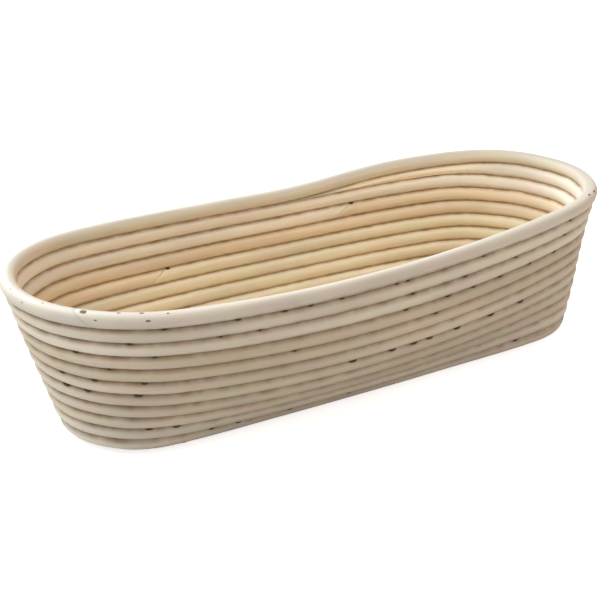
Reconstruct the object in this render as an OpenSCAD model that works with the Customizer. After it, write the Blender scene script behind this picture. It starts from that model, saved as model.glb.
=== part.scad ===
// Long oval proofing basket, wound from lengths of round rattan cane.
// X runs along the basket, Y points to its back, and Z points up from the flat underside.
// One winding starts round three straight strips in the floor, turns up at the floor's edge and
// climbs the wall counter-clockwise. Its lengths of cane meet in slanted scarf joints, wire pins
// tie each row to the row before it, and a separate rim cane closes the top.

/* [Cane] */
// Thickness of the round cane
cane_d = 7.4; // [6:0.1:9]
// Gap between one row of cane and the next
row_gap = 0.6; // [0.5:0.05:1]

/* [Floor] */
// Distance between the centres of the two round ends
end_span = 234; // [180:1:300]
// Distance from the floor's middle line to the centre of the floor's edge
floor_r = 32; // [28:1:40]
// How much sooner the outer strips end than the middle one
strip_setback = 3; // [2:0.5:8]

/* [Wall] */
// Rows of cane from the floor's middle line up to the rim
rows = 15; // [13:1:17]
// Radius of the turn from the floor to the wall
turn_r = 9.6; // [8:0.1:14]
// How far the middles of the long sides bow out at the rim
side_bow = 10; // [4:1:16]
// Outward angle of the end walls just above the turn
end_angle_low = 7.5; // [0:0.5:20]
// Outward angle of the end walls at the rim
end_angle_top = 17; // [5:0.5:30]
// Outward angle of the long walls just above the turn
side_angle_low = 44; // [20:1:55]
// Outward angle of the long walls at the rim
side_angle_top = -8; // [-10:0.5:20]
// Angle by which the low wall stands steeper at the right-hand end and flatter at the left-hand end
skew_angle = 10.5; // [0:0.5:12]

/* [Winding] */
// Place along the back, from the middle towards +X, where each row has stepped up to the next
step_x = -30; // [-45:1:0]
// Part of a turn over which the rows step up
step_turn = 0.15; // [0.13:0.01:0.2]
// Place along the back where the tapered top end of the winding stops
tip_x = 33; // [20:1:45]
// Part of the cane's thickness that the taper leaves for the cut at its tip
blunt_part = 0.4; // [0.3:0.05:0.6]
// Part of the taper that the cut at its tip takes up
cut_part = 0.12; // [0.1:0.01:0.2]
// Part of a row that the turns in the wall climb slowly before the step
slow_climb = 0.45; // [0:0.01:0.7]
// Turns of the floor over which the slow climb sets in
slow_turns = 4; // [3:1:6]
// Turns in the length of cane that lies in the floor
floor_turns = 1.3; // [1.2:0.02:1.5]
// Turns in the topmost length of cane
top_turns = 2.05; // [1.8:0.01:2.4]
// Length of the slanted cut of a scarf joint
scarf_len = 12; // [6:1:16]
// Place of the rim's scarf joint, in turns from the step
rim_joint = 0.33; // [0.1:0.01:0.8]
// Hairline gap left in the rim's scarf joint
rim_joint_gap = 0.3; // [0.2:0.05:0.6]

/* [Pins] */
// Thickness of the wire pins
pin_d = 1.3; // [0.8:0.1:2]
// Length of a pin between two rows
pin_len = 10; // [8:0.5:12]
// Length of a pin that comes down through the rim
rim_pin_len = 13; // [11:0.5:15]
// Pins in each turn
pins_per_turn = 6; // [4:1:8]
// Least room between a pin and the slanted cut of a joint
pin_clear = 2; // [1:0.5:4]

/* [Hidden] */
wall_canes = 6;

// Cane and row sizes
cane_r = cane_d / 2;
pitch = cane_d + row_gap;
foot_cut = cane_d / 10;
floor_z = cane_r - foot_cut;
half_span = end_span / 2;

// A six-sided ring that has the round cane's area, with flats towards the next rows
ring_sides = 6;
rings_per_turn = 24;
ring_angle = 360 / rings_per_turn;
ring_r = cane_r * sqrt(2 * PI / (ring_sides * sin(360 / ring_sides)));
ring_flat = ring_r * cos(180 / ring_sides);
// Least room between an end ring and the next ring, in steps of a turn's rings
ring_room = 0.25;

// Plan: the rows lie round a thin ellipse, half_span long and side_bow wide each way. Of the angle
// of one turn, each end takes end_sweep, where the rows turn by end_face to either side of the
// tip, and each long side takes the rest
end_sweep = 135;
side_sweep = 180 - end_sweep;
end_face = 80;
corner_x = heart(end_face)[0];
step_angle = end_sweep / 2 + side_sweep * (1 - step_x / corner_x) / 2;
first_row = 2;
floor_edge = floor_r / pitch;
turn_step = 2 * asin(pitch / (2 * turn_r));

// The winding starts in the step, with a part of it left, and ends in the taper, just before its
// tip. The tip and the cut lie this far before the step's end, in turns
start_part = 0.75;
end_part = 0.05;
tip_back = (tip_x - step_x) * side_sweep / (720 * corner_x);
taper_turn = step_turn - tip_back;
cut_back = tip_back + cut_part * taper_turn;
start_turn = first_row - start_part * step_turn;
tip_turn = rows - tip_back - end_part * taper_turn;
cane_turns = (rows - top_turns - first_row - floor_turns) / (wall_canes - 1);
// Joints between the lengths of cane, in turns
joints = concat(
    [for (i = [0 : wall_canes - 1]) first_row + floor_turns + i * cane_turns],
    [tip_turn]
);

// Pins: where in its step each lies, how far on in every other row, and how far from a joint
pin_phase = 0.25;
pin_stagger = 0.5;
joint_room = (scarf_len + pin_d) / 2 + pin_clear;

// Strip pins: their spacing along a groove, and how much further along each next groove's lie
strip_pin_step = 0.45 * half_span;
groove_shift = 0.2 * strip_pin_step;

// Looks
heart_colour = "#c9a676";
wall_colours = ["#b08a5c", "#b89468", "#bf9d72", "#c7a880", "#ccb08c", "#d2b998"];
rim_colour = "#ddd0bb";
pin_colour = "#4a4038";

function mix(a, b, share) = a + (b - a) * share;
function clamp(v) = min(max(v, 0), 1);
function smooth(v) = let (c = clamp(v)) c * c * (3 - 2 * c);
function part_of_turn(t) = t - floor(t);

// Point of the plan's ellipse whose outward side faces that way
function heart(face) =
    [half_span * half_span * cos(face), side_bow * side_bow * sin(face)]
    / norm([half_span * cos(face), side_bow * sin(face)]);

// Angle of turn t, counted from the front corner of the right-hand end, and which way it faces
function swept(t) = (720 + step_angle + end_sweep / 2 + 360 * t) % 360;
function face_at(b) = let (
        half = b % 180,
        along = corner_x / half_span * (1 - 2 * (half - end_sweep) / side_sweep),
        face = half < end_sweep ? end_face * (2 * half / end_sweep - 1)
            : atan2(half_span * sqrt(1 - along * along), side_bow * along)
    )
    b < 180 ? face : face + 180;

// Rows: how far turn t has climbed the step, its row, the thickness that the taper of the top end
// leaves of it, and where the rim lies over both
function step_up(t) = clamp(1 - (1 - part_of_turn(t)) / step_turn);
function slow_share(t) = slow_climb * clamp((floor(t) - first_row) / slow_turns);
function row_at(t) = floor(t) + mix(step_up(t), part_of_turn(t), slow_share(t));
function taper(t) = let (v = clamp((rows - tip_back - t) / taper_turn))
    mix(blunt_part, 1, v) * smooth(v / cut_part);
function rim_row(t) = let (part = part_of_turn(t)) row_at(rows - 2 + part) + 1 + taper(rows - 1 + part);

// The winding's row and its share of full thickness; both ends taper between their neighbours
function lay(t) =
    t < first_row ? let (grown = step_up(t))
        [first_row - (1 - grown) / 2, (grown * pitch - row_gap) / cane_d]
    : t < rows - step_turn ? [row_at(t), 1]
    : let (left = taper(t)) [row_at(t - 1) + (1 + left) / 2, (left * pitch - row_gap) / cane_d];

function laid_at(t, on_rim) = on_rim ? [rim_row(t), 1] : lay(t);

// A point at turn t on a row, moved out square to the wall and up along it, from the plan's centre
function spot(t, row, out, up) = let (
        face = face_at(swept(t)),
        middle = heart(face),
        far = (middle[0] + floor_r * cos(face)) / (half_span + floor_r),
        low = mix(side_angle_low, end_angle_low, far * far) - skew_angle * far,
        top = mix(side_angle_top, end_angle_top, far * far),
        above = row - floor_edge,
        turn_rows = (90 - low) / turn_step,
        turned = turn_step * min(max(above, 0), turn_rows),
        wall = pitch * max(above - turn_rows, 0),
        bend = (top - low) * wall / (pitch * (rows - floor_edge - turn_rows)),
        chord = bend == 0 ? wall : wall * sin(bend / 2) / (bend * PI / 360),
        lean = above < turn_rows ? 90 - turned : low + bend,
        bow = max(row - first_row, 0) / (rows - first_row),
        reach = floor_r + pitch * min(above, 0) + turn_r * sin(turned) + chord * sin(low + bend / 2)
            + out * cos(lean) + up * sin(lean),
        height = floor_z + turn_r * (1 - cos(turned)) + chord * cos(low + bend / 2)
            - out * sin(lean) + up * cos(lean)
    )
    [middle[0] + reach * cos(face), bow * middle[1] + reach * sin(face), height];

// The same point, from the middle between the rim's two tips
right_tip = 1 - step_angle / 360;
left_tip = right_tip - 0.5;
tips = [for (t = [left_tip, right_tip]) spot(t, rim_row(t), 0, 0)[0]];
centre_x = (tips[0] + tips[1]) / 2;
function place(t, row, out = 0, up = 0) = spot(t, row, out, up) - [centre_x, 0, 0];

// Turns that one millimetre along a row takes up, from two points a little before and after
probe = 0.005;
function turns_per_mm(t, row) = 2 * probe / norm(place(t + probe, row) - place(t - probe, row));

// One ring of a cane at turn t; a slanted ring runs ahead below and behind above
function ring(t, on_rim, slant) = let (
        laid = laid_at(t, on_rim),
        shift = slant * turns_per_mm(t, laid[0]) / (2 * ring_flat)
    )
    [for (k = [0 : ring_sides - 1]) let (
        out = ring_r * cos(360 * k / ring_sides),
        up = ring_r * sin(360 * k / ring_sides) * laid[1],
        at = t - up * shift
    ) place(at, laid[0], out, up)];

// Rings of a cane from one end to the other, with the plan's stations between its end rings,
// as far as the slants of its ends leave room for them, and one more where the tip's cut starts
function station(i) = (ring_angle * (i + 0.5) - step_angle) / 360;
function station_index(t) = (360 * t + step_angle) / ring_angle - 0.5;
function end_room(t, on_rim, slant) =
    ring_room + rings_per_turn * turns_per_mm(t, laid_at(t, on_rim)[0]) * slant / 2;
function rings(from, to, on_rim, slants) = let (cut = station_index((on_rim ? 1 : rows) - cut_back)) concat(
    [ring(from, on_rim, slants[0])],
    [for (i = [ceil(station_index(from) + end_room(from, on_rim, slants[0]))
            : floor(station_index(to) - end_room(to, on_rim, slants[1]))])
        for (at = i == floor(cut) ? [i, cut] : [i])
            ring(station(at), on_rim, 0)],
    [ring(to, on_rim, slants[1])]
);

// Faces of a tube of that many rings, all triangles, with a fan on each end
function tube_faces(count) = concat(
    [for (i = [0 : count - 2], k = [0 : ring_sides - 1], half = [0, 1]) let (
        a = i * ring_sides + k,
        b = i * ring_sides + (k + 1) % ring_sides
    ) half == 0 ? [a, b, b + ring_sides] : [a, b + ring_sides, a + ring_sides]],
    [for (k = [1 : ring_sides - 2]) [0, k + 1, k]],
    [for (k = [1 : ring_sides - 2]) let (last = (count - 1) * ring_sides) [last, last + k, last + k + 1]]
);

module tube(from, to, on_rim = false, slants = [scarf_len, scarf_len]) {
    all_rings = rings(from, to, on_rim, slants);
    polyhedron(points = [for (r = all_rings) each r], faces = tube_faces(len(all_rings)));
}

// Everything below the surface that the basket stands on
module ground() {
    size = 2 * (end_span + floor_r);
    translate([-size / 2, -size / 2, -size])
        cube(size);
}

// A wire pin from one point to another, made to a length about their middle
module wire(from, to, length) {
    along = to - from;
    translate((from + to) / 2)
        rotate([0, acos(along[2] / norm(along)), atan2(along[1], along[0])])
            cylinder(d = pin_d, h = length, center = true, $fn = 24);
}

// Pins sit at even steps in a turn, staggered in every other row, and keep off the joints
function apart(t, joint, row) = abs(t - joint) > joint_room * turns_per_mm(joint, row);
function off_joints(t) =
    len([for (j = joints) if (!apart(t, j, row_at(j)) || !apart(t + 1, j, row_at(j))) j]) == 0;
pin_turns = [for (i = [first_row : rows - 2], k = [0 : pins_per_turn - 1])
    let (t = i + (k + pin_phase + pin_stagger * (i % 2)) / pins_per_turn)
    if (off_joints(t) && t + 1 < rows - step_turn) t];
rim_pin_turns = [for (k = [0 : pins_per_turn - 1])
    let (t = rows - 1 + (k + pin_phase) / pins_per_turn)
    if (t < rows - step_turn && apart(part_of_turn(t), rim_joint, rows)) t];

module row_pin(t) {
    wire(place(t, row_at(t)), place(t, row_at(t + 1)), pin_len);
}

module rim_pin(t) {
    head = place(t, rim_row(t), 0, ring_flat);
    foot = place(t, rim_row(t), 0, ring_flat - rim_pin_len);
    wire(head, foot, rim_pin_len);
}

// Pins between the floor's strips and from the outer strips to the first turn
module strip_wires() {
    for (groove = [0 : 3], k = [-1 : 1])
        let (x = k * strip_pin_step - groove_shift * (groove + 1) - centre_x)
            wire([x, (groove - 2) * pitch, floor_z], [x, (groove - 1) * pitch, floor_z], pin_len);
}

// The room that the first turn leaves round the strips, and the space with round ends that a
// strip fills in it, up to half a row gap short of that room
strip_room = first_row * pitch - cane_r - row_gap / 2;
module strip_space(end_x) {
    cube([2 * end_x, 4 * strip_room, 2 * cane_d], center = true);
    for (x = [-end_x, end_x])
        translate([x, 0, 0])
            cylinder(r = strip_room - row_gap / 2, h = 2 * cane_d, center = true, $fn = 96);
}

// A straight strip of the floor's heart
module strip(line, end_x) {
    length = end_span + 4 * strip_room;
    color(heart_colour)
        difference() {
            translate([-centre_x, 0, floor_z])
                intersection() {
                    translate([-length / 2, line * pitch, 0])
                        rotate([0, 90, 0])
                            cylinder(d = cane_d, h = length, $fn = 48);
                    strip_space(end_x);
                }
            ground();
            strip_wires();
        }
}

module strip_middle() {
    strip(0, half_span);
}

module strip_front() {
    strip(-1, half_span - strip_setback);
}

module strip_back() {
    strip(1, half_span - strip_setback);
}

// A length of the winding with the seats of the pins that pass through it
module cane(from, to, slants, colour) {
    color(colour)
        difference() {
            tube(from, to, false, slants);
            if (from < floor_edge + 1)
                ground();
            if (from < first_row)
                strip_wires();
            for (t = pin_turns)
                if ((t > from && t < to) || (t + 1 > from && t + 1 < to))
                    row_pin(t);
            for (t = rim_pin_turns)
                if (t > from && t < to)
                    rim_pin(t);
        }
}

module floor_cane() {
    cane(start_turn, joints[0], [0, scarf_len], heart_colour);
}

module wall_cane(i) {
    cane(joints[i - 1], joints[i], [scarf_len, i < wall_canes ? scarf_len : 0], wall_colours[i - 1]);
}

module rim_cane() {
    half_gap = rim_joint_gap / 2 * turns_per_mm(rim_joint, rows);
    color(rim_colour)
        difference() {
            tube(rim_joint + half_gap, rim_joint + 1 - half_gap, true);
            for (t = rim_pin_turns)
                rim_pin(t);
        }
}

module strip_pins() {
    color(pin_colour)
        strip_wires();
}

// The pins that tie one length of cane to the row before it
module cane_pins(from, to) {
    color(pin_colour)
        for (t = pin_turns)
            if (t + 1 > from && t + 1 < to)
                row_pin(t);
}

module floor_pins() {
    cane_pins(start_turn, joints[0]);
}

module wall_pins(i) {
    cane_pins(joints[i - 1], joints[i]);
}

module rim_pins() {
    color(pin_colour)
        for (t = rim_pin_turns)
            rim_pin(t);
}

// Least gap from one turn of the winding to the next, and from its top turn to the rim
winding_points = [for (i = [0 : 2 * rings_per_turn * (rows - 1 - first_row)])
    first_row + i / (2 * rings_per_turn)];
turn_gaps = [for (t = winding_points) norm(place(t, row_at(t + 1)) - place(t, row_at(t))) - cane_d];
rim_gaps = [for (t = winding_points) if (t > rows - 2 && t < rows - 1 - step_turn)
    norm(place(t, rim_row(t)) - place(t, row_at(t + 1))) - cane_d];
echo(least_gap_of_winding = min(turn_gaps), least_gap_to_rim = min(rim_gaps));

strip_middle();
strip_front();
strip_back();
floor_cane();
for (i = [1 : wall_canes]) {
    wall_cane(i);
    wall_pins(i);
}
rim_cane();
strip_pins();
floor_pins();
rim_pins();
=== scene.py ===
"""Long oval proofing basket, wound from lengths of round rattan cane and tied with wire pins.

Sizes are in millimetres and turns, as the basket was laid out; meshes are made in metres.
A turn counts once round the basket, counter-clockwise from above, from the step at the back.
"""
import bisect
import math

import bmesh
import bpy
from mathutils import Matrix, Vector, noise


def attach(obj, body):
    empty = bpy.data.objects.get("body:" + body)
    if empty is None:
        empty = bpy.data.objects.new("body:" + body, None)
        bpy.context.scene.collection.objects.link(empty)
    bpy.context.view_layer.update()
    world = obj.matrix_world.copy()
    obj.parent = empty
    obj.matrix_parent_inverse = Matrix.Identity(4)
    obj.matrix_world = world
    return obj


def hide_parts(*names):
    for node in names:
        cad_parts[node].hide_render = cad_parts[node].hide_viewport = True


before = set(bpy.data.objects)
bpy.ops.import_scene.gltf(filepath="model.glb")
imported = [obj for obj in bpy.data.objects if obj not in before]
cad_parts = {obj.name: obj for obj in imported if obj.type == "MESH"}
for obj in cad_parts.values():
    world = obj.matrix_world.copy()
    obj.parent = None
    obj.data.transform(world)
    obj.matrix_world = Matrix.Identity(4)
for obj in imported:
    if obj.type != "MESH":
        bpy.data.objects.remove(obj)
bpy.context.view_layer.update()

MM = 0.001

# Cane and rows; the floor's rows are rubbed a little flat below
CANE_D = 7.4
ROW_GAP = 0.6
PITCH = CANE_D + ROW_GAP
FLOOR_Z = CANE_D * 0.4

# Plan: half the distance between the centres of the round ends, how far the long sides bow out at
# the rim, and the distance from the floor's middle line to its edge
HALF_SPAN = 234 / 2
SIDE_BOW = 10
FLOOR_R = 32
FLOOR_EDGE = FLOOR_R / PITCH
# Of the angle of one turn, in degrees, each end takes END_SWEEP, where the rows turn by END_FACE to
# either side of the tip, and each long side takes the rest
END_SWEEP = 135
SIDE_SWEEP = 180 - END_SWEEP
END_FACE = 80

# Wall: its rows up to the rim, the radius of the turn from the floor to it, and its outward angles
# in degrees, just above that turn and at the rim
ROWS = 15
TURN_R = 9.6
TURN_STEP = 2 * math.degrees(math.asin(PITCH / (2 * TURN_R)))
END_ANGLE_LOW, END_ANGLE_TOP = 7.5, 17
SIDE_ANGLE_LOW, SIDE_ANGLE_TOP = 44, -8
# The low wall stands this much steeper at the right end and flatter at the left end
SKEW_ANGLE = 10.5

# The foot of the right end is pulled in by hand: how far, from where on, over what length and up
# to what height
FOOT_TUCK = 3.0
TUCK_START = 80
TUCK_LENGTH = 70
TUCK_HEIGHT = 42

# Winding: the row of its first turn, and the step at the back, where each row has stepped up to the
# next, with the part of a turn that the step takes
FIRST_ROW = 2
STEP_X = -30
STEP_TURN = 0.15
# Part of a row that the wall's turns climb slowly before the step, and the floor's turns over which
# that sets in
SLOW_CLIMB = 0.45
SLOW_TURNS = 4
# Taper of the top end: where along the back its tip lies, the part of the thickness that it leaves
# for the cut at the tip, and the part of its length that the cut takes
TIP_X = 6
BLUNT_PART = 0.4
CUT_PART = 0.36
# The winding starts with this part of the step left, and ends with this part of the taper left
START_PART = 0.9
END_PART = 0.01

# Lengths of cane, in turns, with the slanted cut of their joints in millimetres, and the length of
# cane over which the slant fades
FLOOR_TURNS = 1.303
TOP_TURNS = 2.047
WALL_CANES = 6
RIM_JOINT = 0.33
SCARF_LEN = 12
SLANT_FADE = 3 * SCARF_LEN

# The cane as it shows: pressed against the next rows, so that no light comes through the grooves,
# and a little flatter where it is tapered
CANE_OUT = 3.75
PRESS = 0.25
RIM_R = 4.1
TAPER_DEPTH = 0.75
CANE_SIDES = 24
RING_STEP = 2.0
STEPS_PER_TURN = 480
# Waves of the rows, with the noise's reach round and up the basket, and swellings of the cane
ROW_DRIFT = 0.3
DRIFT_ROUND = 3
DRIFT_UP = 0.3
SWELL = 0.04
SWELL_LENGTH = 45

# Wire pins, at even steps: where in its step each lies, how far on in every other row, and how far
# a hand sets it astray, as parts of a step
PINS_PER_TURN = 9
PIN_PHASE = 0.25
PIN_STAGGER = 0.5
PIN_STRAY = 0.8
# Pins on the left end and the front, by row, as parts of a turn; that side has no others
SEEN_SIDE = (0.2, 0.6)
SEEN_PINS = {
    4: [0.418],
    5: [0.425, 0.433, 0.45, 0.471, 0.484, 0.537],
    6: [0.383, 0.41],
    9: [0.28, 0.312, 0.373, 0.465, 0.479, 0.487, 0.493, 0.504, 0.518, 0.531],
    10: [0.28, 0.325, 0.38],
    11: [0.345, 0.444, 0.493],
    12: [0.31, 0.39, 0.481, 0.497, 0.507, 0.518, 0.531, 0.542],
    13: [0.368, 0.423, 0.433, 0.483, 0.503, 0.524, 0.546],
    14: [0.397, 0.427, 0.44, 0.448, 0.458, 0.477, 0.481, 0.51, 0.549],
}
# The pins' heads: how far out they lie, and their half length and half width, larger below a row,
# with their half thickness and how far out or in they stray
BOLD_BELOW = 11
BOLD_HEAD = (2.4, 2.0, 0.95)
FAINT_HEAD = (1.9, 1.2, 0.7)
HEAD_THICK = 0.8
HEAD_STRAY = 0.5
# Nails of the scarf joints: how far before the joint, in turns, how far up, in rows, and how far in
NAIL_BACK = 0.004
NAIL_UP = 0.47
NAIL_IN = 2.3
NAIL_SIZE = (1.5, 0.75, 0.8)

# Scars on the rim: turn, angle in degrees up from its outer side, half length; then how far their
# middles lie below the surface, their width as a part of their length, and their half thickness
RIM_SCARS = [
    (0.225, 75, 0.9), (0.255, 40, 1.0), (0.28, 90, 1.0), (0.327, 85, 2.8),
    (0.34, 30, 1.0), (0.36, 95, 1.4), (0.38, 95, 1.8), (0.385, 30, 1.4),
    (0.4, 75, 1.1), (0.585, 75, 1.7), (0.604, 60, 2.0),
]
SCAR_SUNK = 0.2
SCAR_WIDTH = 0.45
SCAR_THICK = 0.3

# Stains beside the pins: half length, half height as a part of the cane's, and how dark they are
STAIN_LENGTH = 4.0
STAIN_HEIGHT = 0.4
STAIN_DARK = 0.8
# Grime on the top end's tip: how dark it is, and the shares of thickness between which it sets in
TIP_DARK = 0.4
TIP_CLEAN, TIP_GRIMY = 0.45, 0.15
# How fast the cane shows pale where it is cut to a taper
CUT_PALE = 2
# The rim's outer colour faces this much outwards and this much upwards; a painted highlight lies in a
# band along its top
RIM_OUTER_OUT, RIM_OUTER_UP = 0.87, 0.5
PAINTED_HIGHLIGHT = 0.5
HIGHLIGHT_ANGLE = math.radians(75)
HIGHLIGHT_SPREAD = math.radians(45)
# Each length of cane takes its grain this much further on for each turn at which it starts
GRAIN_SHIFT = 1000
STRIP_SHIFT = 500

# Sockets of a colour mix: its share, its two colours and its result
SHARE, FIRST, SECOND, RESULT = 0, 6, 7, 2


def mix(a, b, share):
    """The value that lies that share of the way from a to b."""
    return a + (b - a) * share


def clamp(value):
    """The value, held between 0 and 1."""
    return min(max(value, 0.0), 1.0)


def smooth(value):
    """A soft step from 0 to 1."""
    held = clamp(value)
    return held * held * (3 - 2 * held)


def stray(x, y, z):
    """A small value above or below nothing, the same on each run and alike at near places. The bare
    numbers in its calls only pick a place in the noise."""
    return noise.noise(Vector((x, y, z)))


def part_of_turn(turn):
    """How far a turn has gone since it last passed the step."""
    return turn - math.floor(turn)


def heart(face):
    """Point of the plan's thin ellipse whose outward side faces that way."""
    along, across = HALF_SPAN * math.cos(face), SIDE_BOW * math.sin(face)
    size = math.hypot(along, across)
    return HALF_SPAN * along / size, SIDE_BOW * across / size


CORNER_X = heart(math.radians(END_FACE))[0]
STEP_ANGLE = END_SWEEP / 2 + SIDE_SWEEP * (1 - STEP_X / CORNER_X) / 2
TIP_BACK = (TIP_X - STEP_X) * SIDE_SWEEP / (720 * CORNER_X)
TAPER_TURN = STEP_TURN - TIP_BACK
START_TURN = FIRST_ROW - START_PART * STEP_TURN
TIP_TURN = ROWS - TIP_BACK - END_PART * TAPER_TURN
CANE_TURNS = (ROWS - TOP_TURNS - FIRST_ROW - FLOOR_TURNS) / (WALL_CANES - 1)
JOINTS = [FIRST_ROW + FLOOR_TURNS + i * CANE_TURNS for i in range(WALL_CANES)] + [TIP_TURN]


def face_at(turn):
    """Which way a turn faces, as an angle from +X."""
    angle = (STEP_ANGLE + END_SWEEP / 2 + 360 * turn) % 360
    half = angle % 180
    if half < END_SWEEP:
        face = math.radians(END_FACE) * (2 * half / END_SWEEP - 1)
    else:
        along = CORNER_X / HALF_SPAN * (1 - 2 * (half - END_SWEEP) / SIDE_SWEEP)
        face = math.atan2(HALF_SPAN * math.sqrt(1 - along * along), SIDE_BOW * along)
    return face if angle < 180 else face + math.pi


def step_up(turn):
    """How far the turn has climbed the step."""
    return clamp(1 - (1 - part_of_turn(turn)) / STEP_TURN)


def row_at(turn):
    """Row that the winding has reached."""
    slow = SLOW_CLIMB * clamp((math.floor(turn) - FIRST_ROW) / SLOW_TURNS)
    return math.floor(turn) + mix(step_up(turn), part_of_turn(turn), slow)


def taper(turn):
    """Share of the thickness that the taper of the top end leaves, with a cut at its tip."""
    value = clamp((ROWS - TIP_BACK - turn) / TAPER_TURN)
    return mix(BLUNT_PART, 1, value) * smooth(value / CUT_PART)


def rim_row(turn):
    """Row on which the rim lies over that turn: on the top end, or on the row before it."""
    part = part_of_turn(turn)
    return row_at(ROWS - 2 + part) + 1 + taper(ROWS - 1 + part)


def lay(turn, on_rim):
    """The cane's row and its share of full thickness; the winding tapers at both ends."""
    if on_rim:
        return rim_row(turn), 1.0
    if turn < FIRST_ROW:
        grown = step_up(turn)
        return FIRST_ROW - (1 - grown) / 2, grown
    if turn < ROWS - STEP_TURN:
        return row_at(turn), 1.0
    left = taper(turn)
    return row_at(turn - 1) + (1 + left) / 2, left


def spot(turn, row):
    """A row's centre at a turn, from the plan's centre, and its directions out of and up the wall."""
    face = face_at(turn)
    away = Vector((math.cos(face), math.sin(face), 0))
    x, y = heart(face)
    far = (x + FLOOR_R * away.x) / (HALF_SPAN + FLOOR_R)
    low = mix(SIDE_ANGLE_LOW, END_ANGLE_LOW, far * far) - SKEW_ANGLE * far
    top = mix(SIDE_ANGLE_TOP, END_ANGLE_TOP, far * far)
    above = row - FLOOR_EDGE
    turn_rows = (90 - low) / TURN_STEP
    turned = math.radians(TURN_STEP * min(max(above, 0), turn_rows))
    wall = PITCH * max(above - turn_rows, 0)
    bend = math.radians((top - low) * wall / (PITCH * (ROWS - FLOOR_EDGE - turn_rows)))
    chord = wall if abs(bend) < 1e-9 else wall * math.sin(bend / 2) / (bend / 2)
    rise = math.radians(low) + bend / 2
    lean = math.pi / 2 - turned if above < turn_rows else math.radians(low) + bend
    reach = FLOOR_R + PITCH * min(above, 0) + TURN_R * math.sin(turned) + chord * math.sin(rise)
    height = FLOOR_Z + TURN_R * (1 - math.cos(turned)) + chord * math.cos(rise)
    bow = max(row - FIRST_ROW, 0) / (ROWS - FIRST_ROW)
    centre = Vector((x, bow * y, height)) + away * reach
    out = away * math.cos(lean) - Vector((0, 0, math.sin(lean)))
    up = away * math.sin(lean) + Vector((0, 0, math.cos(lean)))
    return centre, out, up


# The basket stands with the middle between the rim's two tips over the origin
RIGHT_TIP = 1 - STEP_ANGLE / 360
LEFT_TIP = RIGHT_TIP - 0.5
CENTRE_X = sum(spot(tip, rim_row(tip))[0].x for tip in (LEFT_TIP, RIGHT_TIP)) / 2


def tucked(place):
    """A place from the plan's centre, seen from the origin, with the foot of the right end pulled in."""
    moved = place - Vector((CENTRE_X, 0, 0))
    outer = smooth((moved.x - TUCK_START) / TUCK_LENGTH)
    lower = 1 - smooth(moved.z / TUCK_HEIGHT)
    moved.x -= FOOT_TUCK * outer * lower
    return moved


def seat(turn, row):
    """A row's centre at a turn, from the origin, and its directions out of and up the wall."""
    centre, out, up = spot(turn, row)
    return tucked(centre), out, up


def way(turn, row):
    """The direction in which a row runs."""
    little = 0.002
    return (seat(turn + little, row)[0] - seat(turn - little, row)[0]).normalized()


def half_way(turn, row, other):
    """Half the distance from a row to another row, and a little more, which presses them together."""
    return (seat(turn, other)[0] - seat(turn, row)[0]).length / 2 + PRESS


def half_heights(turn, on_rim):
    """How far a cane's section reaches up and down the wall from its centre."""
    row, share = lay(turn, on_rim)
    if on_rim:
        return RIM_R, PITCH / 2 + PRESS
    if share < 1:
        half = share * PITCH / 2 + PRESS
        return half, half
    above = row_at(turn + 1) if turn < ROWS - 1 else row + 1
    below = row_at(turn - 1) if turn >= FIRST_ROW + 1 else row - 1
    return half_way(turn, row, above), half_way(turn, row, below)


def drift(turn, row):
    """Small waves of the rows out of and up the wall, alike in neighbours, which stay in touch."""
    angle = 2 * math.pi * turn
    x, y = DRIFT_ROUND * math.cos(angle), DRIFT_ROUND * math.sin(angle)
    z = DRIFT_UP * row
    return ROW_DRIFT * stray(x, y, z), ROW_DRIFT * stray(x, y, z + 40)


def walk(start, end, on_rim):
    """Turns along a cane and the length of cane used up to each of them."""
    count = math.ceil((end - start) * STEPS_PER_TURN)
    turns = [mix(start, end, i / count) for i in range(count + 1)]
    lengths = [0.0]
    last = seat(turns[0], lay(turns[0], on_rim)[0])[0]
    for turn in turns[1:]:
        here = seat(turn, lay(turn, on_rim)[0])[0]
        lengths.append(lengths[-1] + (here - last).length)
        last = here
    return turns, lengths


def interpolate(value, values, results):
    """The result at a value between the listed values, which rise."""
    i = min(max(bisect.bisect_right(values, value), 1), len(values) - 1)
    share = (value - values[i - 1]) / (values[i] - values[i - 1])
    return mix(results[i - 1], results[i], share)


def pin_turns():
    """Turns at which a pin ties a row to the next: those seen, and elsewhere even steps, staggered by
    rows and set by eye."""
    turns = []
    for row in range(FIRST_ROW, ROWS):
        turns += [row + part for part in SEEN_PINS.get(row, [])]
        for k in range(PINS_PER_TURN):
            by_eye = PIN_STRAY * stray(1.7 * row, 2.3 * k, 0.5)
            turn = row + (k + PIN_PHASE + PIN_STAGGER * (row % 2) + by_eye) / PINS_PER_TURN
            seen = SEEN_SIDE[0] < part_of_turn(turn) < SEEN_SIDE[1]
            if FIRST_ROW < turn < ROWS - STEP_TURN and not seen:
                turns.append(turn)
    return turns


PIN_TURNS = pin_turns()


def straight_rod(length):
    """A straight round rod of unit radius, one unit long up Z, with rings of edges for that length."""
    bm = bmesh.new()
    bmesh.ops.create_cone(bm, cap_ends=True, segments=CANE_SIDES, radius1=1, radius2=1, depth=1)
    long_edges = [e for e in bm.edges if abs(e.verts[0].co.z - e.verts[1].co.z) > 0.5]
    bmesh.ops.subdivide_edges(bm, edges=long_edges, cuts=math.ceil(length / RING_STEP))
    return bm


def piece_from(bm, name, material, nodes=()):
    """A finished piece of the basket, riding on it and standing for the nodes it is named for."""
    bmesh.ops.recalc_face_normals(bm, faces=bm.faces)
    for face in bm.faces:
        face.smooth = len(face.verts) <= 4
    mesh = bpy.data.meshes.new(name)
    bm.to_mesh(mesh)
    bm.free()
    mesh.materials.append(material)
    piece = bpy.data.objects.new(name, mesh)
    bpy.context.scene.collection.objects.link(piece)
    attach(piece, "root")
    if nodes:
        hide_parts(*nodes)


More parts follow.
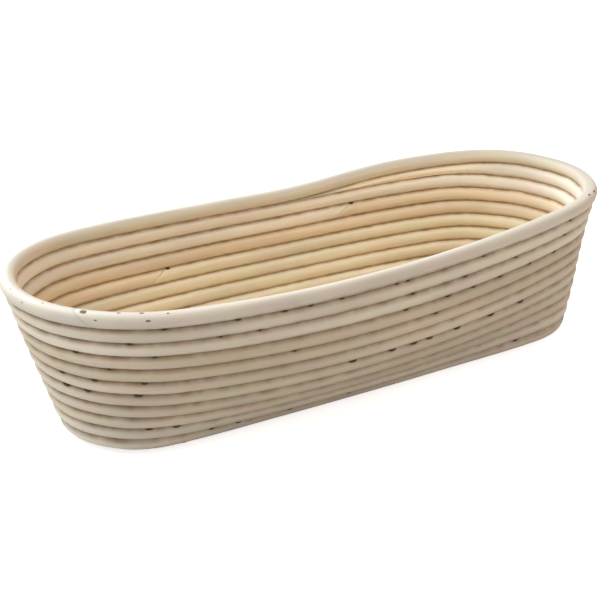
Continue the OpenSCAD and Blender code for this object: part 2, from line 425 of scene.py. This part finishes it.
def pin_marks(start, end, on_rim, turns, lengths):
    """Where along a cane the pins lie in its upper (1) and lower (-1) groove."""
    marks = []
    for pin in PIN_TURNS:
        if on_rim and pin > ROWS - 1:
            here = start + (pin - start) % 1
            marks.append((interpolate(here, turns, lengths), -1))
        if not on_rim and start < pin < end:
            marks.append((interpolate(pin, turns, lengths), 1))
        if not on_rim and start < pin + 1 < end:
            marks.append((interpolate(pin + 1, turns, lengths), -1))
    return marks


def stain_at(along, out, high, marks):
    """How dark the pins beside that place have stained the cane, on its outer side alone."""
    dark = 0.0
    for place, side in marks:
        if out > 0:
            away = math.hypot((along - place) / STAIN_LENGTH, (side - high) / STAIN_HEIGHT)
            dark = max(dark, STAIN_DARK * (1 - smooth(away)))
    return dark


def bend_cane(bm, start, end, on_rim, slants):
    """Bends a straight rod into the winding. Its straight shape, its stains and how pale it is are
    kept as attributes. On the rim the outer colour reaches over the top, and the paleness is a painted
    highlight in a band there."""
    straight = bm.verts.layers.float_vector.new("straight")
    stain = bm.verts.layers.float.new("stain")
    cut = bm.verts.layers.float.new("cut")
    turns, lengths = walk(start, end, on_rim)
    whole = lengths[-1]
    marks = pin_marks(start, end, on_rim, turns, lengths)
    rings = {}
    for vert in bm.verts:
        rings.setdefault(round(vert.co.z, 5), []).append(vert)
    for level, ring in rings.items():
        along = (level + 0.5) * whole
        turn = interpolate(along, lengths, turns)
        row, share = lay(turn, on_rim)
        above, below = half_heights(turn, on_rim)
        swell = 1 + SWELL * stray(along / SWELL_LENGTH, 3 * start, 7.0)
        deep = (RIM_R if on_rim else CANE_OUT) * mix(TAPER_DEPTH, 1, share) * swell
        slant = slants[0] * (1 - smooth(along / SLANT_FADE))
        slant += slants[1] * (1 - smooth((whole - along) / SLANT_FADE))
        side, rise = drift(turn, row)
        centre, outward, upward = seat(turn, row)
        near = [mark for mark in marks if abs(mark[0] - along) < STAIN_LENGTH]
        grime = 0.0
        if turn > FIRST_ROW:
            grime = TIP_DARK * smooth((TIP_CLEAN - share) / (TIP_CLEAN - TIP_GRIMY))
        pale_cut_and_highlight = clamp(CUT_PALE * (1 - share))
        for vert in ring:
            around = math.atan2(vert.co.y, vert.co.x)
            out = deep * math.cos(around)
            high = math.sin(around)
            up = high * (above if high > 0 else below)
            if slant:
                shifted = interpolate(along - slant * up / PITCH, lengths, turns)
                centre, outward, upward = seat(shifted, row)
            place = centre + outward * (out + side) + upward * (up + rise)
            place.z = max(place.z, 0)
            vert.co = place * MM
            # On the rim: a painted highlight in a band along the top, the outer colour turned up over
            # the top, and no groove above
            if on_rim:
                pale_cut_and_highlight = PAINTED_HIGHLIGHT * (1 - smooth(abs(around - HIGHLIGHT_ANGLE) / HIGHLIGHT_SPREAD))
                out = RIM_OUTER_OUT * out + RIM_OUTER_UP * up
                high = min(high, 0)
            vert[straight] = Vector((along + GRAIN_SHIFT * start, out, high)) * MM
            vert[stain] = max(stain_at(along, out, high, near), grime)
            vert[cut] = pale_cut_and_highlight


def lay_cane(name, start, end, on_rim, slants, material):
    """One length of cane, bent into its place, which stands for its node."""
    bm = straight_rod(walk(start, end, on_rim)[1][-1])
    bend_cane(bm, start, end, on_rim, slants)
    piece_from(bm, f"{name}_round", material, [name])


def lay_canes():
    """The lengths of the winding, from the floor up, and the rim. Gives the floor cane's finish."""
    # Colour in the bowl, colour outside and slot
    tones = [
        ("#d5c19c", "#c5b8a3", "heart_cane"),
        # Outside, the low canes are painted lighter, standing in for light bounced up from the floor
        ("#d8c39d", "#c6baa6", "low_cane"),
        ("#dbc7a4", "#c8bdac", "low_cane"),
        ("#e3d2b2", "#bbae99", "middle_cane"),
        ("#decfaf", "#bdaf9a", "middle_cane"),
        ("#dbc5a6", "#baaa93", "top_cane"),
        ("#e1d3be", "#c5b9a5", "top_cane"),
    ]
    ends = [START_TURN] + JOINTS
    materials = []
    for i, (inside, outside, slot) in enumerate(tones):
        name = "floor_cane" if i == 0 else f"wall_cane_{i}"
        slants = (0 if i == 0 else SCARF_LEN, 0 if i == WALL_CANES else SCARF_LEN)
        materials.append(rattan(f"rattan_core_{name}", inside, outside))
        lay_cane(name, ends[i], ends[i + 1], False, slants, materials[i])
    # The rim's pale colours paint a highlight along its top
    rim = rattan("rattan_core_rim_painted_highlight", "#d2c5ae", "#c0b4a3",
                 outer_band=(-3.6, -0.2), pale_cut_and_highlight=("#e6dfd2", "#d6ccbc"))
    lay_cane("rim_cane", RIM_JOINT, RIM_JOINT + 1, True, (SCARF_LEN, SCARF_LEN), rim)
    return materials[0]


def lay_strips(material):
    """The three straight strips of the floor's heart, their ends cut to the round of the first turn."""
    half = PITCH / 2 + PRESS
    room = FIRST_ROW * PITCH - half
    for name, line in (("strip_front", -1), ("strip_middle", 0), ("strip_back", 1)):
        bm = straight_rod(2 * HALF_SPAN)
        straight = bm.verts.layers.float_vector.new("straight")
        bm.verts.layers.float.new("stain")
        bm.verts.layers.float.new("cut")
        for vert in bm.verts:
            along = vert.co.z * 2
            across = vert.co.x
            high = CANE_OUT * vert.co.y
            y = line * PITCH + half * across
            reach = HALF_SPAN + math.sqrt(max(room ** 2 - y ** 2, 0))
            vert[straight] = Vector((along * reach + STRIP_SHIFT * line, -high, across)) * MM
            vert.co = tucked(Vector((along * reach, y, max(FLOOR_Z + high, 0)))) * MM
        piece_from(bm, f"{name}_round", material, [name])


def add_grain(bm, turn, row, out, angle, size):
    """Adds a flat grain, out from a row's centre at an angle up the wall."""
    centre, outward, upward = seat(turn, row)
    side, rise = drift(turn, row)
    along = way(turn, row)
    facing = outward * math.cos(angle) + upward * math.sin(angle)
    across = facing.cross(along)
    axes = Matrix((along * size[0], across * size[1], facing * size[2]))
    middle = centre + facing * out + outward * side + upward * rise
    matrix = Matrix.Translation(middle * MM) @ (axes.transposed() * MM).to_4x4()
    bmesh.ops.create_uvsphere(bm, u_segments=8, v_segments=5, radius=1, matrix=matrix)


def lay_pin_heads(material):
    """The wire pins' bent ends, which show dark in the grooves outside and where the joints meet."""
    bm = bmesh.new()
    for turn in PIN_TURNS:
        row = row_at(turn)
        if row > FLOOR_EDGE:
            above = rim_row(turn) if turn > ROWS - 1 else row_at(turn + 1)
            by_eye = stray(9.7 * turn, 0.3, 0.8)
            out, length, width = BOLD_HEAD if turn < BOLD_BELOW else FAINT_HEAD
            size = (length + by_eye, width, HEAD_THICK)
            add_grain(bm, turn, (row + above) / 2, out + HEAD_STRAY * by_eye, 0, size)
    for joint in JOINTS[1:-1]:
        add_grain(bm, joint - NAIL_BACK, row_at(joint) + NAIL_UP, -NAIL_IN, 0, NAIL_SIZE)
    piece_from(bm, "pin_heads", material)


def lay_rim_scars(material):
    """Scars in the rim where side shoots of the palm were cut off, flush with the cane."""
    bm = bmesh.new()
    for turn, angle, length in RIM_SCARS:
        size = (length, SCAR_WIDTH * length, SCAR_THICK)
        add_grain(bm, turn, rim_row(turn), RIM_R - SCAR_SUNK, math.radians(angle), size)
    piece_from(bm, "rim_scars", material)


def linear(hex_colour):
    """An sRGB hex colour as linear red, green, blue and full alpha."""
    parts = [int(hex_colour[i:i + 2], 16) / 255 for i in (1, 3, 5)]
    return [c / 12.92 if c <= 0.04045 else ((c + 0.055) / 1.055) ** 2.4 for c in parts] + [1.0]


def add(tree, kind, settings=None, inputs=None):
    """Adds a node with its settings, and sets or links its inputs."""
    node = tree.nodes.new(kind)
    for name, value in (settings or {}).items():
        setattr(node, name, value)
    for name, value in (inputs or {}).items():
        if isinstance(value, bpy.types.NodeSocket):
            tree.links.new(value, node.inputs[name])
        else:
            node.inputs[name].default_value = value
    return node


def new_material(name):
    """An empty node material and its tree."""
    material = bpy.data.materials.new(name)
    material.use_nodes = True
    tree = material.node_tree
    tree.nodes.clear()
    return material, tree


def rattan(name, inside, outside, outer_band=(-1.5, 2.0), pale_cut_and_highlight=("#fbf0d6", "#d9b07a")):
    """Peeled rattan core, drawn round: matt, with fine fibres along the cane, greyer outside than in
    the bowl, paler where it is cut to a taper, and brown in the grooves, partly dust and partly painted
    shade.
    Its colour turns from the bowl's to the outside's between two distances out from the cane's middle,
    and its cut wood has two colours, which on the rim paint a highlight."""
    material, tree = new_material(name)
    straight = add(tree, "ShaderNodeAttribute", {"attribute_name": "straight"}).outputs["Vector"]
    stain = add(tree, "ShaderNodeAttribute", {"attribute_name": "stain"}).outputs["Fac"]
    cut = add(tree, "ShaderNodeAttribute", {"attribute_name": "cut"}).outputs["Fac"]
    axes = add(tree, "ShaderNodeSeparateXYZ", inputs={"Vector": straight})

    # Fibres 0.7 mm wide and 50 mm long, a little coarser than real ones so that they show
    fibre_place = add(tree, "ShaderNodeMapping", inputs={
        "Vector": straight, "Scale": (1 / (50 * MM), 1 / (0.7 * MM), 1 / (0.25 * MM))})
    fibres = add(tree, "ShaderNodeTexNoise", inputs={
        "Vector": fibre_place.outputs["Vector"], "Scale": 1.0, "Detail": 2.0})
    # Tone that drifts over 110 mm of cane, and mottling in patches 20 mm long
    tone_place = add(tree, "ShaderNodeMapping", inputs={
        "Vector": straight, "Scale": (1 / (110 * MM), 1 / (14 * MM), 1 / (4 * MM))})
    tone = add(tree, "ShaderNodeTexNoise", inputs={
        "Vector": tone_place.outputs["Vector"], "Scale": 1.0, "Detail": 3.0})
    patch_place = add(tree, "ShaderNodeMapping", inputs={
        "Vector": straight, "Scale": (1 / (20 * MM), 1 / (5 * MM), 1 / (2 * MM))})
    patches = add(tree, "ShaderNodeTexNoise", inputs={
        "Vector": patch_place.outputs["Vector"], "Scale": 1.0, "Detail": 2.0})
    # Dust and painted shade in the grooves lie in dashes about 10 mm long
    dash_place = add(tree, "ShaderNodeMapping", inputs={
        "Vector": straight, "Scale": (1 / (10 * MM), 0.0, 0.0)})
    dashes = add(tree, "ShaderNodeTexNoise", inputs={
        "Vector": dash_place.outputs["Vector"], "Scale": 1.0, "Detail": 2.0})

    # The body's colour, greyer outside, with its tone, fibres and mottling
    outer_share = add(tree, "ShaderNodeMapRange", {"interpolation_type": "SMOOTHSTEP"}, {
        "Value": axes.outputs["Y"], "From Min": outer_band[0] * MM, "From Max": outer_band[1] * MM})
    body = add(tree, "ShaderNodeMix", {"data_type": "RGBA"}, {
        SHARE: outer_share.outputs["Result"], FIRST: linear(inside), SECOND: linear(outside)})
    tone_range = add(tree, "ShaderNodeMapRange", inputs={
        "Value": tone.outputs["Fac"], "From Min": 0.3, "From Max": 0.7, "To Min": 0.88, "To Max": 1.1})
    fibre_range = add(tree, "ShaderNodeMapRange", inputs={
        "Value": fibres.outputs["Fac"], "From Min": 0.25, "From Max": 0.75,
        "To Min": 0.95, "To Max": 1.04})
    shade = add(tree, "ShaderNodeMath", {"operation": "MULTIPLY"}, {
        0: tone_range.outputs["Result"], 1: fibre_range.outputs["Result"]})
    grained = add(tree, "ShaderNodeVectorMath", {"operation": "SCALE"}, {
        0: body.outputs[RESULT], "Scale": shade.outputs[0]})
    tint = add(tree, "ShaderNodeVectorMath", {"operation": "MULTIPLY_ADD"}, {
        0: patches.outputs["Color"], 1: (0.18, 0.18, 0.18), 2: (0.91, 0.91, 0.91)})
    mottled = add(tree, "ShaderNodeVectorMath", {"operation": "MULTIPLY"}, {
        0: grained.outputs[0], 1: tint.outputs[0]})

    # Cut wood, in two colours that follow the fibres; on the rim these colours paint a highlight
    split = add(tree, "ShaderNodeMapRange", inputs={
        "Value": fibres.outputs["Fac"], "From Min": 0.4, "From Max": 0.65, "To Max": 0.7})
    wood_and_highlight = add(tree, "ShaderNodeMix", {"data_type": "RGBA"}, {
        SHARE: split.outputs["Result"], FIRST: linear(pale_cut_and_highlight[0]), SECOND: linear(pale_cut_and_highlight[1])})
    cut_and_highlighted = add(tree, "ShaderNodeMix", {"data_type": "RGBA"}, {
        SHARE: cut, FIRST: mottled.outputs[0], SECOND: wood_and_highlight.outputs[RESULT]})

    # Brown in the grooves, partly dust and partly painted shade, which lies wider outside than in the
    # bowl, and the stains of the pins
    high = add(tree, "ShaderNodeMath", {"operation": "ABSOLUTE"}, {0: axes.outputs["Z"]})
    dust_and_shade_edge = add(tree, "ShaderNodeMapRange", inputs={
        "Value": outer_share.outputs["Result"], "To Min": 0.5 * MM, "To Max": 0.25 * MM})
    groove_dust_and_shade = add(tree, "ShaderNodeMapRange", {"interpolation_type": "SMOOTHSTEP"}, {
        "Value": high.outputs[0], "From Min": dust_and_shade_edge.outputs["Result"], "From Max": 0.94 * MM})
    dash_range = add(tree, "ShaderNodeMapRange", inputs={
        "Value": dashes.outputs["Fac"], "From Min": 0.35, "From Max": 0.65,
        "To Min": 0.25, "To Max": 0.8})
    lying_dust_and_shade = add(tree, "ShaderNodeMath", {"operation": "MULTIPLY"}, {
        0: groove_dust_and_shade.outputs["Result"], 1: dash_range.outputs["Result"]})
    groove_dust_and_shade_colour = add(tree, "ShaderNodeMix", {"data_type": "RGBA"}, {
        SHARE: outer_share.outputs["Result"], FIRST: linear("#9c7440"), SECOND: linear("#84694c")})
    dusted_and_shaded = add(tree, "ShaderNodeMix", {"data_type": "RGBA"}, {
        SHARE: lying_dust_and_shade.outputs[0], FIRST: cut_and_highlighted.outputs[RESULT], SECOND: groove_dust_and_shade_colour.outputs[RESULT]})
    stained = add(tree, "ShaderNodeMix", {"data_type": "RGBA"}, {
        SHARE: stain, FIRST: dusted_and_shaded.outputs[RESULT], SECOND: linear("#4a3a2b")})

    bump = add(tree, "ShaderNodeBump", inputs={
        "Height": fibres.outputs["Fac"], "Strength": 0.3, "Distance": 0.12 * MM})
    shader = add(tree, "ShaderNodeBsdfPrincipled", inputs={
        "Base Color": stained.outputs[RESULT], "Roughness": 0.62, "IOR": 1.5,
        "Specular IOR Level": 0.3, "Normal": bump.outputs["Normal"]})
    add(tree, "ShaderNodeOutputMaterial", inputs={"Surface": shader.outputs["BSDF"]})
    return material


def iron_wire():
    """Drawn iron wire, dulled and gone brown in the damp: dark, with rust in patches."""
    material, tree = new_material("dulled_iron_wire")
    place = add(tree, "ShaderNodeTexCoord").outputs["Object"]
    # Rust in patches of 0.8 mm
    patches = add(tree, "ShaderNodeTexNoise", inputs={
        "Vector": place, "Scale": 1 / (0.8 * MM), "Detail": 3.0})
    colour = add(tree, "ShaderNodeMix", {"data_type": "RGBA"}, {
        SHARE: patches.outputs["Fac"], FIRST: linear("#2b221a"), SECOND: linear("#5a4230")})
    shader = add(tree, "ShaderNodeBsdfPrincipled", inputs={
        "Base Color": colour.outputs[RESULT], "Metallic": 0.5, "Roughness": 0.6})
    add(tree, "ShaderNodeOutputMaterial", inputs={"Surface": shader.outputs["BSDF"]})
    return material


def scarred_rattan():
    """Grey-brown scar in rattan core: matt, and darker in patches."""
    material, tree = new_material("scarred_rattan_core")
    place = add(tree, "ShaderNodeTexCoord").outputs["Object"]
    # Dark patches of 1.5 mm
    patches = add(tree, "ShaderNodeTexNoise", inputs={
        "Vector": place, "Scale": 1 / (1.5 * MM), "Detail": 2.0})
    spread = add(tree, "ShaderNodeMapRange", inputs={
        "Value": patches.outputs["Fac"], "From Min": 0.35, "From Max": 0.65})
    colour = add(tree, "ShaderNodeMix", {"data_type": "RGBA"}, {
        SHARE: spread.outputs["Result"], FIRST: linear("#4a4232"), SECOND: linear("#7d7258")})
    shader = add(tree, "ShaderNodeBsdfPrincipled", inputs={
        "Base Color": colour.outputs[RESULT], "Roughness": 0.8})
    add(tree, "ShaderNodeOutputMaterial", inputs={"Surface": shader.outputs["BSDF"]})
    return material


def white_paper():
    """White paper, matt; the camera sees it glow to white, and it keeps the basket's shadow."""
    material, tree = new_material("white_paper")
    path = add(tree, "ShaderNodeLightPath")
    paper = add(tree, "ShaderNodeBsdfDiffuse", inputs={"Color": linear("#e8e8e8")})
    glow = add(tree, "ShaderNodeEmission", inputs={"Color": linear("#ffffff"), "Strength": 0.75})
    both = add(tree, "ShaderNodeAddShader", inputs={0: paper.outputs[0], 1: glow.outputs[0]})
    seen = add(tree, "ShaderNodeMixShader", inputs={
        0: path.outputs["Is Camera Ray"], 1: paper.outputs[0], 2: both.outputs[0]})
    add(tree, "ShaderNodeOutputMaterial", inputs={"Surface": seen.outputs[0]})
    return material


def make_floor(scene):
    """The paper that the basket stands on."""
    bm = bmesh.new()
    bmesh.ops.create_grid(bm, x_segments=1, y_segments=1, size=6)
    mesh = bpy.data.meshes.new("floor")
    bm.to_mesh(mesh)
    bm.free()
    mesh.materials.append(white_paper())
    floor = bpy.data.objects.new("floor", mesh)
    scene.collection.objects.link(floor)


def make_world(scene):
    """A white room, which lights the basket less than it shows to the camera and in reflections."""
    world = bpy.data.worlds.new("white_room")
    scene.world = world
    world.use_nodes = True
    tree = world.node_tree
    tree.nodes.clear()
    path = add(tree, "ShaderNodeLightPath")
    light = add(tree, "ShaderNodeBackground", inputs={"Color": linear("#fff2e7"), "Strength": 0.47})
    white = add(tree, "ShaderNodeBackground", inputs={"Color": linear("#ffffff"), "Strength": 1.0})
    glossy = add(tree, "ShaderNodeMath", {"operation": "MAXIMUM"}, {
        0: path.outputs["Is Camera Ray"], 1: path.outputs["Is Glossy Ray"]})
    clear = add(tree, "ShaderNodeMath", {"operation": "MAXIMUM"}, {
        0: glossy.outputs[0], 1: path.outputs["Is Transmission Ray"]})
    seen = add(tree, "ShaderNodeMixShader", inputs={
        0: clear.outputs[0], 1: light.outputs[0], 2: white.outputs[0]})
    add(tree, "ShaderNodeOutputWorld", inputs={"Surface": seen.outputs[0]})


def make_lamps(scene):
    """Soft light from the upper left, from behind and, weaker, from the front right."""
    # Name, place in metres, size in metres, power in watts and colour
    lamps = [
        ("window_light", (-0.9, 0.1, 1.2), 0.7, 18.0, "#eef9ff"),
        ("back_light", (-0.2, 1.2, 1.0), 0.9, 23.7, "#e4f0ff"),
        ("front_light", (0.9, -1.1, 0.6), 0.9, 6.6, "#fff6ed"),
    ]
    for name, place, size, power, colour in lamps:
        lamp = bpy.data.lights.new(name, "AREA")
        lamp.size = size
        lamp.energy = power
        lamp.color = linear(colour)[:3]
        holder = bpy.data.objects.new(name, lamp)
        holder.location = place
        holder.rotation_euler = (-Vector(place)).to_track_quat("-Z", "Y").to_euler()
        scene.collection.objects.link(holder)


def make_camera(scene):
    """The camera, in front on the left and a little above, aimed at the middle of the basket."""
    azimuth, elevation = math.radians(-33.55), math.radians(22.07)
    distance = 0.8802
    target = Vector((-CENTRE_X * MM, 0, 0.04))
    back = Vector((math.sin(azimuth) * math.cos(elevation),
                   -math.cos(azimuth) * math.cos(elevation),
                   math.sin(elevation)))
    camera = bpy.data.cameras.new("camera")
    camera.lens = 95.56
    camera.sensor_width = 36
    camera.shift_x = -0.0499
    camera.shift_y = 0.0031
    holder = bpy.data.objects.new("camera", camera)
    holder.location = target + back * distance
    holder.rotation_euler = (-back).to_track_quat("-Z", "Y").to_euler()
    scene.collection.objects.link(holder)
    scene.camera = holder


def make_scene():
    """Floor, white surroundings, light and camera."""
    scene = bpy.context.scene
    scene.view_settings.view_transform = "Standard"
    make_floor(scene)
    make_world(scene)
    make_lamps(scene)
    make_camera(scene)


heart_material = lay_canes()
lay_strips(heart_material)
wire_material = iron_wire()
lay_pin_heads(wire_material)
lay_rim_scars(scarred_rattan())
for node_name, node_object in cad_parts.items():
    if "_pins" in node_name:
        node_object.data.materials.clear()
        node_object.data.materials.append(wire_material)
make_scene()
